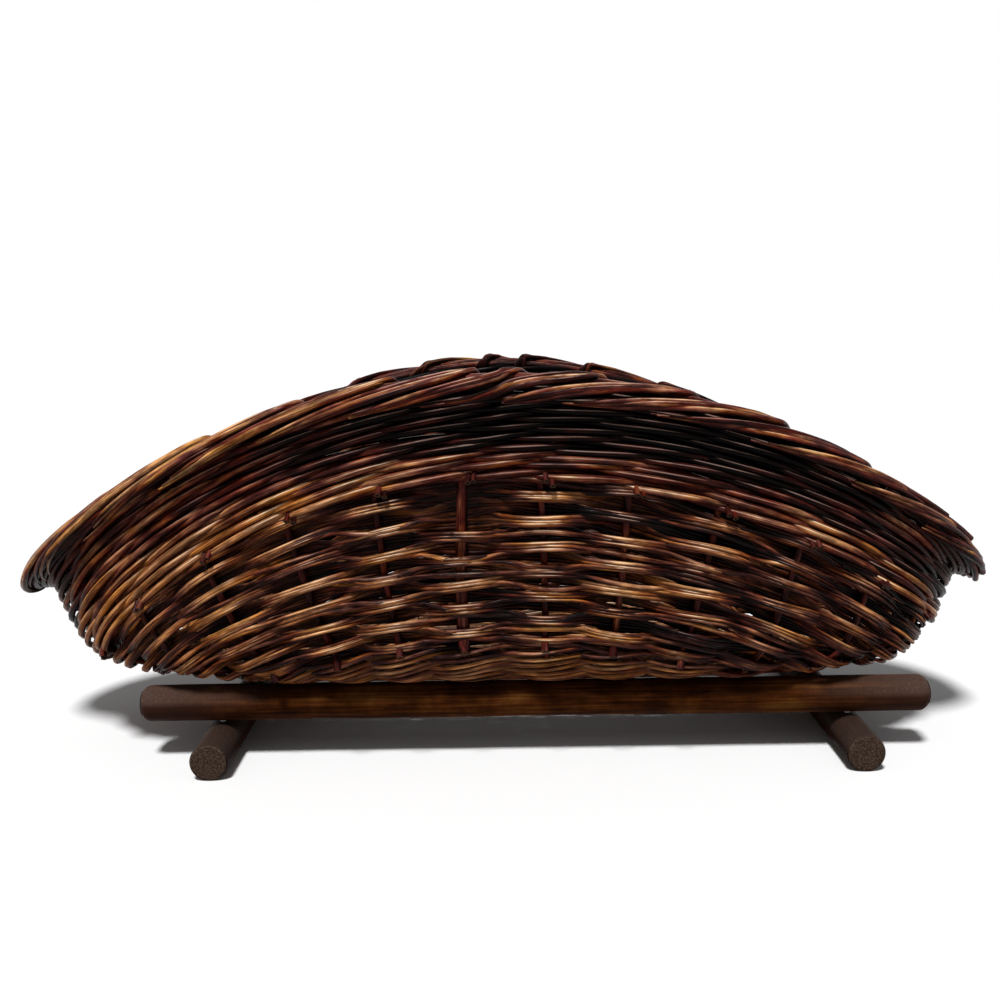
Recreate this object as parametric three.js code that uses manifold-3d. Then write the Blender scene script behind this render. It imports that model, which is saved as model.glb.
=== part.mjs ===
// Wicker harvest basket that rests in a cradle of four round logs.
// Millimetres, +Z up. +X runs along the basket and its front faces -Y.
// The origin lies on the floor, under the middle of the basket.
import * as THREE from "three";
import { mergeVertices } from "three/addons/utils/BufferGeometryUtils.js";
import Module from "manifold-3d";

const wasm = await Module();
wasm.setup();

// Fits
const clearance = 0.3; // between pieces that touch on the real basket
const bandGap = 0.8; // between one band of weave and the next
const stakeSeat = 0.8; // between a stake and the weave that it stands in

// Log cradle
const railDiameter = 25;
const railLength = 524;
const railEndRound = 6;
const footDiameter = 25;
const footFlat = 0.6; // planed off the underside of a foot
const footOverhang = 30.5; // past the outside of a rail
const footInset = 52.5; // from a rail's end to the foot's axis
const footEndBevel = 2;
const cradleShift = 20.5; // the cradle's middle lies this far to the right of the basket's

// Screws that hold the rails on the feet, driven up from below
const screwDiameter = 3.5;
const screwLength = 36;
const screwHeadDiameter = 8;
const screwHeadHeight = 3;
const screwRecess = 2; // head below the foot's underside

// Outer face of the weave: a flat bottom oval, a bulge that guides the turn, and the brim
const bottomLength = 420;
const bottomWidth = 124;
const bottomSquareness = 3.6; // 2 is an ellipse, more is boxier
const bulgeLength = 572;
const bulgeWidth = 212;
const bulgeSquareness = 3.2;
const bulgeRise = 4;
const sideFullness = 0.67; // how far the wall is drawn out to the bulge, in the middle of the long sides
const endFullness = 0.98; // and at the two ends
const fullnessSpread = 0.75; // how early the sides pass over to the ends
const brimLength = 636;
const brimWidth = 226;
const brimEndHeight = 55; // above the bottom, at the two low ends
const brimSideHeight = 197; // above the bottom, in the middle of the long sides
const brimSweep = 1.6; // how late the brim climbs from the ends to the sides
const weaveThickness = 5;
const baseEdge = 0.2; // share of the way up the wall where the base ends
const bandEdge = 0.74; // share of the way up where the close upper weave starts

// Rows of rods on the outer face of the weave
const lowerRowCount = 14; // each passes in front of one stake and behind the next
const rowRelief = 3; // from a row's crown in front of a stake back to where it passes behind the next
const spanRelief = 4.8; // from a row's crown back to the middle between two stakes
const spanSink = 2.4; // of the inner face, in the middle between two stakes
const upperRowCount = 9;
const ribRelief = 2.6; // from a close row's crown back to the groove beside it
const edgeRelief = 1.5; // from a row's crown back to the edge of a band

// Stakes, which climb inside the weave and are laid down along the brim as its border
const stakeCount = 26;
const stakeDiameter = 7;
const stakeFoot = 0.16; // share of the way up where a stake is pushed in
const stakeSpacingRow = 0.6; // stakes are evenly spaced along this row
const borderReach = 3; // stakes that a rod is laid past
const borderOverhang = 20; // of the border, past the weave's outer face
const borderTurn = 0.1; // in stake spacings, before a rod starts to cross the brim
const borderCrown = 2;
const borderDrop = 2;

// Sticks of the base
const crossStickCount = 5;
const crossStickDiameter = 10;
const crossStickPitch = 66;
const crossStickMargin = 12; // from the bottom's long edge to a stick's end
const longStickCount = 3;
const longStickDiameter = 5;
const longStickPitch = 26;
const longStickMargin = 12; // from the bottom's end to a stick's end

// Facets
const stepsPerStake = 2; // of the weave, from one stake to the next
const baseSpans = 3; // from the bottom's edge up the base
const lowerSpans = 7; // up the inner face of the lower weave
const upperSpans = 3; // and of the upper weave
const stakeSides = 6;
const stakeSteps = 28;
const stakeWallPoints = 6; // that guide a stake up the wall
const stakeBorderPoints = 9; // that guide it along the brim
const stickSides = 8;
const logSides = 18;
const screwSides = 10;
const railEndSteps = 3;
const mergeDistance = 1e-4;

// Heights and places that follow from the sizes above
const footTop = footDiameter - footFlat;
const railAxisHeight = footTop + clearance + railDiameter / 2;
const bottomHeight = railAxisHeight + railDiameter / 2 + clearance;
const railInset = 2; // a rail's axis lies this far inside the bottom's long edge
const railSpacing = bottomWidth - 2 * railInset;
const footSpacing = railLength - 2 * footInset;
const footLength = railSpacing + railDiameter + 2 * footOverhang;
const stakeInset = weaveThickness + stakeSeat + stakeDiameter / 2;
const borderOuter = borderOverhang - stakeDiameter / 2;
const borderLift = stakeDiameter / 2 + 2 * clearance;

// Finishes
const willow = new THREE.MeshStandardMaterial({ color: 0x3b1d10, roughness: 0.4, metalness: 0 });
const logWood = new THREE.MeshStandardMaterial({ color: 0x2e1a10, roughness: 0.6, metalness: 0 });
const steel = new THREE.MeshStandardMaterial({ color: 0x8c8a86, roughness: 0.35, metalness: 1 });

// Numbers from 0 to 1 at even steps.
function evenShares(count) {
  return Array.from({ length: count }, (_, i) => i / (count - 1));
}

function named(name, geometry, material) {
  const mesh = new THREE.Mesh(geometry, material);
  mesh.name = name;
  return mesh;
}

// Joining and cutting

function solidOf(geometry) {
  const bare = geometry.clone();
  bare.deleteAttribute("normal");
  bare.deleteAttribute("uv");
  const merged = mergeVertices(bare, mergeDistance);
  const corners = merged.index.array;
  const kept = [];
  for (let i = 0; i < corners.length; i += 3) {
    const [a, b, c] = [corners[i], corners[i + 1], corners[i + 2]];
    if (a !== b && b !== c && c !== a) kept.push(a, b, c);
  }
  const vertProperties = new Float32Array(merged.attributes.position.array);
  return new wasm.Manifold(new wasm.Mesh({ numProp: 3, vertProperties, triVerts: new Uint32Array(kept) }));
}

function geometryOf(solid) {
  const { vertProperties, triVerts } = solid.getMesh();
  return new THREE.BufferGeometry()
    .setAttribute("position", new THREE.BufferAttribute(vertProperties, 3))
    .setIndex(new THREE.BufferAttribute(triVerts, 1));
}

function cut(geometry, tools) {
  const solid = tools.reduce((rest, tool) => rest.subtract(solidOf(tool)), solidOf(geometry));
  return geometryOf(solid);
}

function join(geometries) {
  const [first, ...others] = geometries.map(solidOf);
  return geometryOf(others.reduce((whole, solid) => whole.add(solid), first));
}

// Simple solids

function uprightCylinder(diameter, bottom, top, sides) {
  return new THREE.CylinderGeometry(diameter / 2, diameter / 2, top - bottom, sides)
    .rotateX(Math.PI / 2)
    .translate(0, 0, (bottom + top) / 2);
}

function rodAlong(curve, diameter, sides, steps) {
  const section = new THREE.Shape().absarc(0, 0, diameter / 2, 0, 2 * Math.PI);
  return new THREE.ExtrudeGeometry(section, { extrudePath: curve, steps, curveSegments: sides / 2 });
}

// A closed skin over loops of points: from the first loop's middle to the last one's where it is capped,
// and round from the last loop to the first where it isn't.
function skinOver(loops, capped) {
  const count = loops[0].length;
  const points = loops.flat();
  const faces = [];
  const at = (i, j) => (i % loops.length) * count + (j % count);
  const spans = capped ? loops.length - 1 : loops.length;
  for (let i = 0; i < spans; i++) {
    for (let j = 0; j < count; j++) {
      faces.push(at(i, j), at(i, j + 1), at(i + 1, j + 1), at(i, j), at(i + 1, j + 1), at(i + 1, j));
    }
  }
  if (capped) {
    const last = loops.length - 1;
    const middle = (loop) => loop.reduce((sum, p) => sum.add(p), new THREE.Vector3()).divideScalar(count);
    const start = points.push(middle(loops[0])) - 1;
    const end = points.push(middle(loops[last])) - 1;
    for (let j = 0; j < count; j++) {
      faces.push(start, at(0, j + 1), at(0, j), end, at(last, j), at(last, j + 1));
    }
  }
  return new THREE.BufferGeometry().setFromPoints(points).setIndex(faces);
}

// The wall's shape

function oval(turn, length, width, squareness, height) {
  const reach = (value, half) => Math.sign(value) * Math.abs(value) ** (2 / squareness) * half;
  return new THREE.Vector3(reach(Math.cos(turn), length / 2), reach(Math.sin(turn), width / 2), height);
}

// The wall's line from the bottom's edge to the brim. turn is 0 at the right end and -90 degrees in front.
function wallLine(turn) {
  const climb = Math.abs(Math.sin(turn)) ** brimSweep;
  const brimHeight = bottomHeight + THREE.MathUtils.lerp(brimEndHeight, brimSideHeight, climb);
  const fullness = THREE.MathUtils.lerp(sideFullness, endFullness, Math.abs(Math.cos(turn)) ** fullnessSpread);
  const bottom = oval(turn, bottomLength, bottomWidth, bottomSquareness, bottomHeight);
  const bulge = oval(turn, bulgeLength, bulgeWidth, bulgeSquareness, bottomHeight + bulgeRise);
  const brim = oval(turn, brimLength, brimWidth, 2, brimHeight);
  const leaving = bottom.clone().lerp(bulge, fullness);
  const arriving = brim.clone().lerp(bulge, fullness);
  return new THREE.CubicBezierCurve3(bottom, leaving, arriving, brim);
}

// A place on the weave's outer face, with the directions out of the wall and up along it.
function wallPlace(turn, share) {
  const line = wallLine(turn);
  const nudge = 0.01;
  const point = line.getPointAt(share);
  const up = line.getTangentAt(share);
  const along = wallLine(turn + nudge).getPointAt(share).sub(wallLine(turn - nudge).getPointAt(share));
  const out = along.cross(up).normalize();
  return { point, up, out };
}

function wallPoint(turn, share, inset) {
  const { point, out } = wallPlace(turn, share);
  return point.addScaledVector(out, -inset);
}

// Turn at which the row of even spacing has run a number of stake spacings from the front's middle.
const spacingTable = (() => {
  const samples = 720;
  const lengths = [0];
  let before = wallPoint(-Math.PI / 2, stakeSpacingRow, 0);
  for (let i = 1; i <= samples; i++) {
    const here = wallPoint(-Math.PI / 2 + (2 * Math.PI * i) / samples, stakeSpacingRow, 0);
    lengths.push(lengths[i - 1] + here.distanceTo(before));
    before = here;
  }
  return lengths;
})();

function turnAfter(spacings) {
  const samples = spacingTable.length - 1;
  const whole = Math.floor(spacings / stakeCount);
  const wanted = (spacings / stakeCount - whole) * spacingTable[samples];
  const next = Math.max(1, spacingTable.findIndex((length) => length >= wanted));
  const part = (wanted - spacingTable[next - 1]) / (spacingTable[next] - spacingTable[next - 1]);
  return -Math.PI / 2 + 2 * Math.PI * (whole + (next - 1 + part) / samples);
}

// Basket

// A ring round the wall with points at the stakes and between them. depthAt gives a point's depth from its
// sway, which is 1 and -1 at one stake and the next, and 0 between them. shift moves the ring up the wall.
function wallLoop(share, shift, depthAt) {
  return Array.from({ length: stakeCount * stepsPerStake }, (_, j) => {
    const position = j / stepsPerStake;
    const turn = turnAfter(position);
    const step = shift / wallLine(turn).getLength();
    return wallPoint(turn, share + step, depthAt(Math.cos(Math.PI * (position - 0.5))));
  });
}

// Rings up the outer face of a band of weave and down its inner face. Each ring is a part of the way up the
// band, and the two edges are shifted back where they meet the next band.
function bandLoops(from, to, fromShift, toShift, outer, inner) {
  const loopAt = ({ part, depthAt }) => {
    const shift = (part === 0 && fromShift) || (part === 1 && toShift) || 0;
    return wallLoop(THREE.MathUtils.lerp(from, to, part), shift, depthAt);
  };
  return [...outer.map(loopAt), ...inner.map(loopAt).reverse()];
}

function evenRings(spans, depthAt) {
  return evenShares(spans + 1).map((part) => ({ part, depthAt }));
}

function withEdges(rings) {
  const depthAt = () => edgeRelief;
  return [{ part: 0, depthAt }, ...rings, { part: 1, depthAt }];
}

function baseMat() {
  const outer = evenRings(baseSpans, () => 0);
  const inner = evenRings(baseSpans, () => weaveThickness);
  return skinOver(bandLoops(0, baseEdge, 0, -bandGap / 2, outer, inner), true);
}

// Open rows: each row's crown stands out in front of every second stake.
function lowerWeave() {
  const outer = Array.from({ length: lowerRowCount }, (_, row) => {
    const depthAt = (sway) => {
      const inFront = row % 2 === 0 ? sway : -sway;
      return THREE.MathUtils.lerp(spanRelief, inFront > 0 ? 0 : rowRelief, Math.abs(inFront));
    };
    return { part: (row + 0.5) / lowerRowCount, depthAt };
  });
  const inner = evenRings(lowerSpans, (sway) => weaveThickness + spanSink * (1 - Math.abs(sway)));
  const loops = bandLoops(baseEdge, bandEdge, bandGap / 2, -bandGap / 2, withEdges(outer), inner);
  return skinOver(loops, false);
}

// Close rows: a rib for each, with a groove between one and the next.
function upperWeave() {
  const halves = 2 * upperRowCount;
  const outer = Array.from({ length: halves - 1 }, (_, i) => {
    return { part: (i + 1) / halves, depthAt: () => (i % 2 === 0 ? 0 : ribRelief) };
  });
  const inner = evenRings(upperSpans, () => weaveThickness);
  const loops = bandLoops(bandEdge, 1, bandGap / 2, -bandGap / 2, withEdges(outer), inner);
  return skinOver(loops, false);
}

// Where a border rod lies after it has passed a number of stakes to its left: over the brim's edge and outwards.
function borderPoint(stake, passed) {
  const { point, up, out } = wallPlace(turnAfter(stake - passed), 1);
  const crossing = Math.max(0, (passed - borderTurn) / (borderReach - borderTurn));
  const outward = THREE.MathUtils.lerp(-stakeInset, borderOuter, crossing);
  const laid = passed / borderReach;
  const upward = borderLift + borderCrown * Math.sin(Math.PI * laid) - borderDrop * laid ** 2;
  return point.addScaledVector(out, outward).addScaledVector(up, upward);
}

function stake(position) {
  const turn = turnAfter(position);
  const wall = evenShares(stakeWallPoints).map((climb) => {
    return wallPoint(turn, THREE.MathUtils.lerp(stakeFoot, 1, climb), stakeInset);
  });
  const border = evenShares(stakeBorderPoints).map((laid) => {
    return borderPoint(position, THREE.MathUtils.lerp(borderTurn, borderReach, laid));
  });
  const path = new THREE.CatmullRomCurve3([...wall, ...border], false, "centripetal");
  return rodAlong(path, stakeDiameter, stakeSides, stakeSteps);
}

function baseStickHeight() {
  return bottomHeight + weaveThickness + clearance + crossStickDiameter / 2;
}

// A cross stick is split in the middle, and the long sticks run through the split.
function crossStick(x) {
  const half = bottomWidth / 2 - crossStickMargin;
  const line = new THREE.LineCurve3(new THREE.Vector3(x, -half, 0), new THREE.Vector3(x, half, 0));
  const split = new THREE.BoxGeometry(
    2 * crossStickDiameter,
    (longStickCount - 1) * longStickPitch + longStickDiameter + 2 * clearance,
    longStickDiameter + 2 * clearance,
  ).translate(x, 0, 0);
  return cut(rodAlong(line, crossStickDiameter, stickSides, 1), [split]).translate(0, 0, baseStickHeight());
}

function longStick(y) {
  const half = bottomLength / 2 - longStickMargin;
  const line = new THREE.LineCurve3(new THREE.Vector3(-half, y, 0), new THREE.Vector3(half, y, 0));
  return rodAlong(line, longStickDiameter, stickSides, 1).translate(0, 0, baseStickHeight());
}

function evenPlaces(count, pitch) {
  return Array.from({ length: count }, (_, i) => (i - (count - 1) / 2) * pitch);
}

function makeBasket() {
  const basket = new THREE.Group();
  basket.add(named("base_mat", baseMat(), willow));
  basket.add(named("lower_weave", lowerWeave(), willow));
  basket.add(named("upper_weave", upperWeave(), willow));
  evenPlaces(crossStickCount, crossStickPitch).forEach((x, i) => {
    basket.add(named(`base_cross_stick_${i + 1}`, crossStick(x), willow));
  });
  evenPlaces(longStickCount, longStickPitch).forEach((y, i) => {
    basket.add(named(`base_long_stick_${i + 1}`, longStick(y), willow));
  });
  for (let i = 0; i < stakeCount; i++) {
    basket.add(named(`stake_${String(i + 1).padStart(2, "0")}`, stake(i + 0.5), willow));
  }
  return basket;
}

// Log cradle

function screw() {
  const top = screwRecess + screwLength;
  const head = uprightCylinder(screwHeadDiameter, screwRecess, screwRecess + screwHeadHeight, screwSides);
  const shank = uprightCylinder(screwDiameter, screwRecess, top, screwSides);
  return join([head, shank]);
}

// The hole that a screw needs, open at the foot's underside.
function screwHole() {
  const below = -footDiameter;
  const headTop = screwRecess + screwHeadHeight + clearance;
  const top = screwRecess + screwLength + clearance;
  return [
    uprightCylinder(screwHeadDiameter + 2 * clearance, below, headTop, screwSides),
    uprightCylinder(screwDiameter + 2 * clearance, below, top, screwSides),
  ];
}

function rail() {
  const radius = railDiameter / 2;
  const half = railLength / 2;
  const end = new THREE.Path()
    .moveTo(0, -half)
    .lineTo(radius - railEndRound, -half)
    .absarc(radius - railEndRound, -half + railEndRound, railEndRound, -Math.PI / 2, 0);
  const lower = end.getPoints(railEndSteps);
  const upper = lower.map((p) => new THREE.Vector2(p.x, -p.y)).reverse();
  const log = new THREE.LatheGeometry([...lower, ...upper], logSides)
    .rotateZ(Math.PI / 2)
    .translate(0, 0, railAxisHeight);
  const holes = [-1, 1].flatMap((side) => screwHole().map((tool) => tool.translate((side * footSpacing) / 2, 0, 0)));
  return cut(log, holes);
}

function foot() {
  const radius = footDiameter / 2;
  const flatAngle = Math.acos((radius - footFlat) / radius);
  const section = new THREE.Shape().absarc(0, 0, radius, flatAngle - Math.PI / 2, 1.5 * Math.PI - flatAngle);
  const log = new THREE.ExtrudeGeometry(section, {
    depth: footLength - 2 * footEndBevel,
    curveSegments: logSides / 2,
    bevelSize: footEndBevel,
    bevelOffset: -footEndBevel,
    bevelThickness: footEndBevel,
    bevelSegments: 1,
  })
    .translate(0, 0, footEndBevel - footLength / 2)
    .rotateX(Math.PI / 2)
    .translate(0, 0, radius - footFlat);
  const holes = [-1, 1].flatMap((side) => screwHole().map((tool) => tool.translate(0, (side * railSpacing) / 2, 0)));
  return cut(log, holes);
}

function makeCradle() {
  const cradle = new THREE.Group();
  cradle.position.x = cradleShift;
  const ways = [
    ["left", -1],
    ["right", 1],
  ];
  const rows = [
    ["front", -1],
    ["rear", 1],
  ];
  for (const [row, back] of rows) {
    const log = named(`${row}_rail`, rail(), logWood);
    log.position.y = (back * railSpacing) / 2;
    cradle.add(log);
  }
  for (const [way, right] of ways) {
    const log = named(`${way}_foot`, foot(), logWood);
    log.position.x = (right * footSpacing) / 2;
    cradle.add(log);
    for (const [row, back] of rows) {
      const fastener = named(`${row}_${way}_screw`, screw(), steel);
      fastener.position.set((right * footSpacing) / 2, (back * railSpacing) / 2, 0);
      cradle.add(fastener);
    }
  }
  return cradle;
}

const harvestBasket = new THREE.Group();
harvestBasket.add(makeBasket(), makeCradle());

export default harvestBasket;
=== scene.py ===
# Harvest basket of dark stained willow, resting loose in a cradle of four logs.
import math

import bpy
import numpy as np
from mathutils import Matrix, Vector, noise


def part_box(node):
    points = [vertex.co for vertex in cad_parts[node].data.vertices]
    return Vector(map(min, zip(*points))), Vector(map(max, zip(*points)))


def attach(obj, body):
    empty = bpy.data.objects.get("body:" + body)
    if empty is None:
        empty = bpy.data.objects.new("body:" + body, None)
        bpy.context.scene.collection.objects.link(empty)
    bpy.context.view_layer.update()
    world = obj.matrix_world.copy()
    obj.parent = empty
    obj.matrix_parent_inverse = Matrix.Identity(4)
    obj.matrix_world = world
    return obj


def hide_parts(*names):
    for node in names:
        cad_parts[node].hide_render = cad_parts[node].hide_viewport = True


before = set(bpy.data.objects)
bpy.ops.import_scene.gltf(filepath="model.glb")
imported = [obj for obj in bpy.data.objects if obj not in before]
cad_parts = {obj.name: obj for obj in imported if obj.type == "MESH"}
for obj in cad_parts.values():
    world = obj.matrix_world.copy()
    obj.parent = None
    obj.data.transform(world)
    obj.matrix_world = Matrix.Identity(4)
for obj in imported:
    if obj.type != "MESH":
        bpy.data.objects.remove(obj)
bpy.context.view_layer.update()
mm = 0.001
print("frame loaded")


def addObject(name, data):
    made = bpy.data.objects.new(name, data)
    bpy.context.scene.collection.objects.link(made)
    return made


def paint(code):  # sRGB hex to linear
    parts = [int(code[i:i + 2], 16) / 255 for i in (1, 3, 5)]
    return (*[p / 12.92 if p <= 0.04045 else ((p + 0.055) / 1.055) ** 2.4 for p in parts], 1.0)


def addNode(tree, kind, links=None, values=None, **settings):
    node = tree.nodes.new(kind)
    for name, value in settings.items():
        setattr(node, name, value)
    for key, value in (values or {}).items():
        node.inputs[key].default_value = value
    for key, source in (links or {}).items():
        if isinstance(source, bpy.types.Node):  # a node stands for the first of its outputs that is in use
            source = next(output for output in source.outputs if output.enabled)
        tree.links.new(source, node.inputs[key])
    return node


def setStops(node, stops):  # a colour ramp's places and colours
    ramp = node.color_ramp
    while len(ramp.elements) < len(stops):
        ramp.elements.new(1.0)
    for element, (place, code) in zip(ramp.elements, stops):
        element.position = place
        element.color = paint(code)
    return node


def newFinish(name):
    finish = bpy.data.materials.new(name)
    finish.use_nodes = True
    finish.node_tree.nodes.clear()
    return finish, finish.node_tree


# Camera, as the photograph was taken: just above the front, looking a little down
cameraSetup = dict(place=(-0.001, -0.769, 0.2915), lens=39.85, sensor=36.0, down=9.58, roll=-0.82)

camera = addObject("camera", bpy.data.cameras.new("camera"))
camera.data.lens = cameraSetup["lens"]
camera.data.sensor_width = cameraSetup["sensor"]
cameraTilt = Matrix.Rotation(math.radians(90 - cameraSetup["down"]), 4, "X")
cameraRoll = Matrix.Rotation(math.radians(cameraSetup["roll"]), 4, "Z")
camera.matrix_world = Matrix.Translation(cameraSetup["place"]) @ (cameraTilt @ cameraRoll)
bpy.context.scene.camera = camera
bpy.context.scene.view_settings.view_transform = "Standard"
print("camera placed")


# Materials

def willowFinish(name, look):
    # Peeled willow rods, dyed dark brown and lacquered. Each rod took the dye differently, and its shade
    # drifts along it. The crowns are rubbed to gold. Painted shade darkens the hollows of the weave and the
    # inside of the basket, thin pale painted highlights run along the tops of the crowns, and greyer patches
    # are a painted sheen.
    finish, tree = newFinish(name)
    tone, cut, crown, grain = [
        addNode(tree, "ShaderNodeAttribute", attribute_name=key).outputs[output] for key, output in
        (("tone", "Fac"), ("cut", "Fac"), ("crown", "Vector"), ("grain", "Vector"))]
    # noise in the rod's own length and girth: fibres 45 mm long and 1 mm wide, dye that drifts over 36 mm,
    # and patches of 16 mm that mottle the dye and break up the painted highlights
    noises = []
    for length, width, roughness in ((45, 1, 0.65), (36, 12, 0.6), (16, 4, 0.6)):
        space = addNode(
            tree, "ShaderNodeMapping", {"Vector": grain},
            {"Scale": (1 / (length * mm), 1 / (width * mm), 1 / (width * mm))})
        noises.append(addNode(
            tree, "ShaderNodeTexNoise", {"Vector": space},
            {"Scale": 1.0, "Detail": 3.0, "Roughness": roughness}))
    fibre, drift, patch = noises
    channels = addNode(tree, "ShaderNodeSeparateColor", {"Color": drift.outputs["Color"]})
    # how far a place stands out of the weave, how squarely it lies on its rod's crown, and whether it faces
    # away from the basket's middle
    normal = addNode(tree, "ShaderNodeNewGeometry").outputs["Normal"]
    crownWay = addNode(tree, "ShaderNodeVectorMath", {0: crown}, operation="NORMALIZE")
    place = addNode(tree, "ShaderNodeTexCoord")
    level = addNode(
        tree, "ShaderNodeVectorMath", {0: place.outputs["Object"]}, {1: (0.35, 1, 0)}, operation="MULTIPLY")
    away = addNode(tree, "ShaderNodeVectorMath", {0: level}, operation="NORMALIZE")
    stands, facing, turned = [
        addNode(tree, "ShaderNodeVectorMath", {0: normal, 1: way}, operation="DOT_PRODUCT")
        for way in (crown, crownWay, away)]
    # how high the crown is, and how far a place lies from the rod's middle
    across = addNode(tree, "ShaderNodeVectorMath", {0: grain}, {1: (0, 1, 1)}, operation="MULTIPLY")
    height, reach = [
        addNode(tree, "ShaderNodeVectorMath", {0: way}, operation="LENGTH") for way in (crown, across)]
    # what is read out of these: from two values of the source, to two values of its own
    shares = {}
    for key, source, start, end, low, high in (
            ("spread", drift, 0.32, 0.68, -look["drift"], look["drift"]),
            ("broken", fibre, 0.36, 0.62, 0.1, 1),
            ("rubbed", stands, 0.3, 1, 0, look["wear"]),
            ("line", fibre, 0.36, 0.56, 0.12, 1.15),
            ("mottle", patch, 0.36, 0.64, 0.5, 1.5),
            ("grey", channels.outputs["Green"], 0.42, 0.6, 0, 1),
            ("hollow", stands, -0.7, 0.45, look["hollow"], 1),
            ("crest", facing, *look["crest"], 0, look["paintedHighlight"]),
            ("lifted", height, 0.74, 0.96, 0, 1),
            ("highlightPatched", patch, *look["highlightPatches"], 0, 1),
            ("inside", turned, -0.5, -0.1, look["inside"], 1),
            ("pith", reach, 0.8 * mm, 1.5 * mm, 0, 1),
            ("gloss", fibre, 0.3, 0.7, look["rough"] + 0.14, look["rough"] - 0.06)):
        shares[key] = addNode(
            tree, "ShaderNodeMapRange", {"Value": source},
            {"From Min": start, "From Max": end, "To Min": low, "To Max": high})
    shade = addNode(tree, "ShaderNodeMath", {0: tone, 1: shares["spread"]}, operation="ADD", use_clamp=True)
    dyed, wornTone, highlightTone = [
        setStops(addNode(tree, "ShaderNodeValToRGB", {"Fac": shade}), look[key])
        for key in ("shades", "worn", "highlightTones")]
    # rubbed crowns, broken up by the fibres and more on the rods that took less dye
    rubbed = addNode(
        tree, "ShaderNodeMath", {0: shares["rubbed"], 1: shares["broken"]}, operation="MULTIPLY")
    rubbedMost = addNode(
        tree, "ShaderNodeMath", {0: rubbed, 1: shade}, operation="MULTIPLY", use_clamp=True)
    worn = addNode(
        tree, "ShaderNodeMix", {"Factor": rubbedMost, "A": dyed, "B": wornTone}, data_type="RGBA")
    # dark lines of dye along the rod, mottles where it lies thicker, and greyer patches: a painted sheen
    marked = worn
    for key, strength in (("line", 0.85), ("mottle", 1.0)):
        marked = addNode(
            tree, "ShaderNodeMix", {"A": marked, "B": shares[key]}, {"Factor": strength},
            data_type="RGBA", blend_type="MULTIPLY")
    paintedSheen = addNode(
        tree, "ShaderNodeHueSaturation", {"Fac": shares["grey"], "Color": marked},
        {"Saturation": 0.86, "Value": 1.08})
    # painted shade: darker in the hollows, where a place stands back from the crown of its stroke
    hollowShaded = addNode(
        tree, "ShaderNodeMix", {"A": paintedSheen, "B": shares["hollow"]}, {"Factor": 1.0},
        data_type="RGBA", blend_type="MULTIPLY")
    # painted highlights: thin pale streaks along the top of each crown, broken into patches
    paintedHighlight = shares["crest"]
    for key in ("lifted", "highlightPatched"):
        paintedHighlight = addNode(tree, "ShaderNodeMath", {0: paintedHighlight, 1: shares[key]}, operation="MULTIPLY")
    highlighted = addNode(
        tree, "ShaderNodeMix", {"Factor": paintedHighlight, "A": hollowShaded, "B": highlightTone}, data_type="RGBA")
    # painted shade: darker where a face turns towards the basket's middle
    insideShaded = addNode(
        tree, "ShaderNodeMix", {"A": highlighted, "B": shares["inside"]}, {"Factor": 1.0},
        data_type="RGBA", blend_type="MULTIPLY")
    # cut ends, with a dark pith about 2 mm across
    sawn = addNode(
        tree, "ShaderNodeMix", {"Factor": shares["pith"]},
        {"A": paint("#0c0503"), "B": paint(look["cutEnd"])}, data_type="RGBA")
    ended = addNode(tree, "ShaderNodeMix", {"Factor": cut, "A": insideShaded, "B": sawn}, data_type="RGBA")
    bump = addNode(tree, "ShaderNodeBump", {"Height": fibre}, {"Strength": 0.5, "Distance": 0.5 * mm})
    shader = addNode(
        tree, "ShaderNodeBsdfPrincipled",
        {"Base Color": ended, "Roughness": shares["gloss"], "Normal": bump},
        {"IOR": 1.45, "Specular IOR Level": look["gloss"]})
    addNode(tree, "ShaderNodeOutputMaterial", {"Surface": shader})
    return finish


lowerLook = dict(
    shades=[(0.0, "#0c0505"), (0.3, "#2c0e0b"), (0.5, "#541d11"), (0.72, "#844119"), (1.0, "#b06c30")],
    worn=[(0.2, "#5a342c"), (0.5, "#985c36"), (0.8, "#ca8e50")],
    highlightTones=[(0.15, "#b0948a"), (0.5, "#dcbca4"), (0.8, "#ffe8cc")],
    wear=1.2, hollow=0.14, crest=(0.965, 0.992), highlightPatches=(0.42, 0.54), paintedHighlight=0.9, cutEnd="#6a4a34",
    rough=0.24, gloss=0.06, drift=0.34, inside=0.3)
upperLook = dict(
    shades=[(0.0, "#030101"), (0.35, "#0b0303"), (0.55, "#2c0908"), (0.78, "#661f0f"), (1.0, "#965220")],
    worn=[(0.2, "#2a100c"), (0.6, "#6c2614"), (0.9, "#b87a3a")],
    highlightTones=[(0.1, "#8e766c"), (0.5, "#957066"), (0.75, "#b88c76"), (0.95, "#ffe4c4")],
    wear=0.9, hollow=0.08, crest=(0.975, 0.994), highlightPatches=(0.22, 0.46), paintedHighlight=0.9, cutEnd="#5a4030",
    rough=0.22, gloss=0.04, drift=0.26, inside=0.4)
borderLook = dict(
    shades=[(0.0, "#0a0403"), (0.3, "#300d0a"), (0.5, "#58180e"), (0.72, "#7e3615"), (1.0, "#b47838")],
    worn=[(0.2, "#5a2820"), (0.5, "#863824"), (0.8, "#d09450")],
    highlightTones=[(0.15, "#a87e72"), (0.5, "#c09484"), (0.8, "#ffe4c0")],
    wear=1.0, hollow=0.14, crest=(0.965, 0.992), highlightPatches=(0.4, 0.54), paintedHighlight=0.9, cutEnd="#543a2a",
    rough=0.24, gloss=0.05, drift=0.3, inside=0.8)
lowerWillow = willowFinish("stainedWillowWeave", lowerLook)
upperWillow = willowFinish("stainedWillowWale", upperLook)
borderWillow = willowFinish("stainedWillowBorder", borderLook)
print("willow finishes made")


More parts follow.
